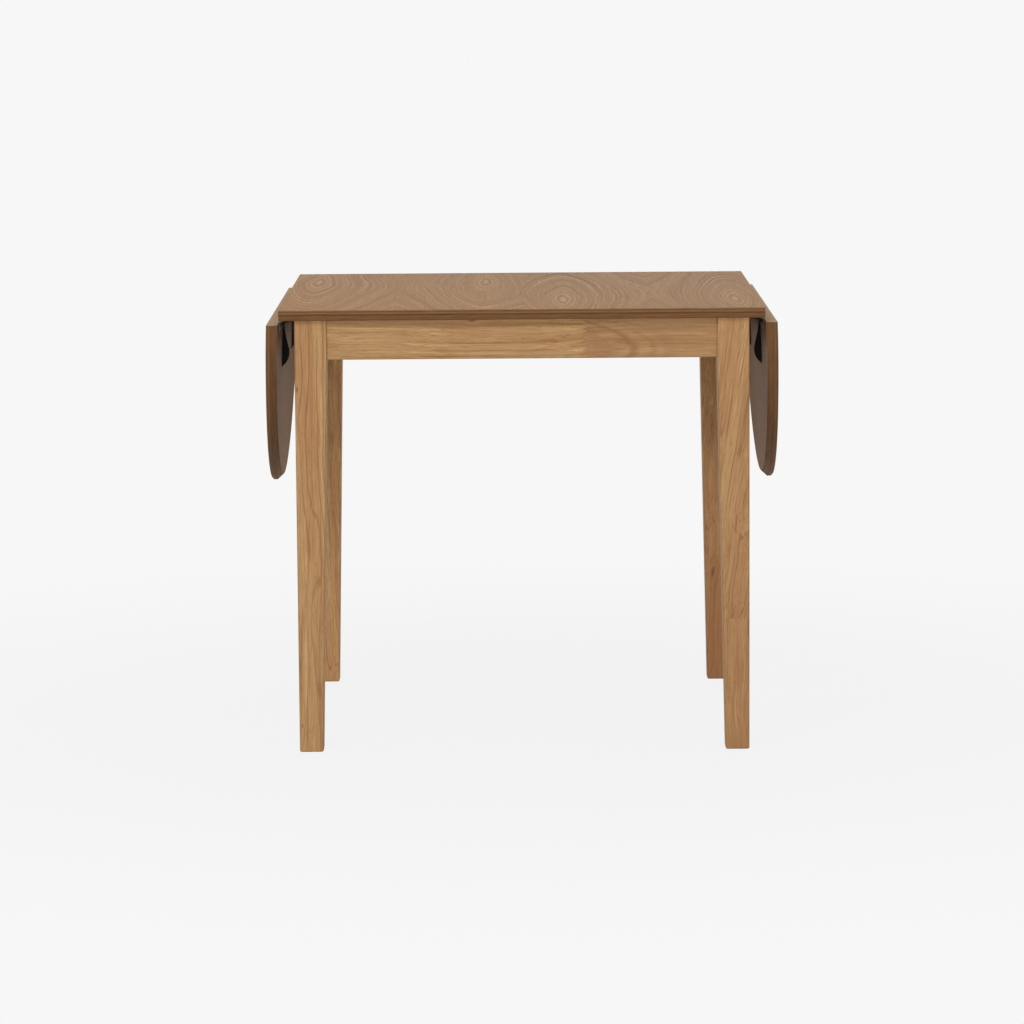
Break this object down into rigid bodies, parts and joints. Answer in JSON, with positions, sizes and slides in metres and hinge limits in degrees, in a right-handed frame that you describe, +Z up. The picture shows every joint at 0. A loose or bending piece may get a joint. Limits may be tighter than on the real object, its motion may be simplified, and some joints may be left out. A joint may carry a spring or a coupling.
{
  "type": "drop-leaf table",
  "caption": "Four-legged wooden dining table with a square top and hinged D-shaped leaves that hang at its ends and swing up to lock level.",
  "frame": {"origin": "on the floor, under the middle of the top", "axes": "+X towards the right leaf, +Y towards the back (away from the picture's viewer), +Z up"},
  "size_m": [0.8722, 0.75, 0.75],
  "materials": {
    "veneer": "satin lacquered ash-brown veneer",
    "frame_wood": "satin lacquered honey hardwood",
    "block_wood": "bare sawn hardwood",
    "hinge_steel": "nickel-plated steel",
    "zinc_steel": "bright zinc-plated steel",
    "black_steel": "black coated steel"
  },
  "bodies": {
    "table": {"fixed_flap_screws": "hinge_steel", "front_apron": "frame_wood", "front_left_corner_block": "block_wood", "front_left_hinge_fixed_flap": "hinge_steel", "front_left_leg": "frame_wood", "front_left_support_bracket": "black_steel", "front_left_top_angle": "zinc_steel", "front_right_corner_block": "block_wood", "front_right_hinge_fixed_flap": "hinge_steel", "front_right_leg": "frame_wood", "front_right_support_bracket": "black_steel", "front_right_top_angle": "zinc_steel", "hanger_bolts": "zinc_steel", "hanger_nuts": "zinc_steel", "left_apron": "frame_wood", "rear_apron": "frame_wood", "rear_left_corner_block": "block_wood", "rear_left_hinge_fixed_flap": "hinge_steel", "rear_left_leg": "frame_wood", "rear_left_support_bracket": "black_steel", "rear_left_top_angle": "zinc_steel", "rear_right_corner_block": "block_wood", "rear_right_hinge_fixed_flap": "hinge_steel", "rear_right_leg": "frame_wood", "rear_right_support_bracket": "black_steel", "rear_right_top_angle": "zinc_steel", "right_apron": "frame_wood", "support_bracket_screws": "black_steel", "top_angle_screws": "zinc_steel", "top_panel": "veneer"},
    "left_drop_leaf": {"front_left_hinge_leaf_flap": "hinge_steel", "front_left_leaf_bracket": "black_steel", "left_leaf": "veneer", "left_leaf_bracket_screws": "black_steel", "left_leaf_hinge_screws": "hinge_steel", "rear_left_hinge_leaf_flap": "hinge_steel", "rear_left_leaf_bracket": "black_steel"},
    "right_drop_leaf": {"front_right_hinge_leaf_flap": "hinge_steel", "front_right_leaf_bracket": "black_steel", "rear_right_hinge_leaf_flap": "hinge_steel", "rear_right_leaf_bracket": "black_steel", "right_leaf": "veneer", "right_leaf_bracket_screws": "black_steel", "right_leaf_hinge_screws": "hinge_steel"},
    "front_left_lever": {"front_left_lock_lever": "black_steel"},
    "front_right_lever": {"front_right_lock_lever": "black_steel"},
    "rear_left_lever": {"rear_left_lock_lever": "black_steel"},
    "rear_right_lever": {"rear_right_lock_lever": "black_steel"}
  },
  "joints": [
    {"name": "left_leaf_hinge", "type": "hinge", "parent": "table", "child": "left_drop_leaf", "pos_m": [-0.4031, 0, 0.7276], "axis": [0, 1, 0], "range_deg": [0, 88]},
    {"name": "right_leaf_hinge", "type": "hinge", "parent": "table", "child": "right_drop_leaf", "pos_m": [0.4031, 0, 0.7276], "axis": [0, -1, 0], "range_deg": [0, 88]},
    {"name": "front_left_lock_pivot", "type": "hinge", "parent": "table", "child": "front_left_lever", "pos_m": [-0.3791, -0.16, 0.7186], "axis": [0, -1, 0], "range_deg": [0, 6]},
    {"name": "front_right_lock_pivot", "type": "hinge", "parent": "table", "child": "front_right_lever", "pos_m": [0.3791, -0.16, 0.7186], "axis": [0, 1, 0], "range_deg": [0, 6]},
    {"name": "rear_left_lock_pivot", "type": "hinge", "parent": "table", "child": "rear_left_lever", "pos_m": [-0.3791, 0.16, 0.7186], "axis": [0, -1, 0], "range_deg": [0, 6]},
    {"name": "rear_right_lock_pivot", "type": "hinge", "parent": "table", "child": "rear_right_lever", "pos_m": [0.3791, 0.16, 0.7186], "axis": [0, 1, 0], "range_deg": [0, 6]}
  ]
}
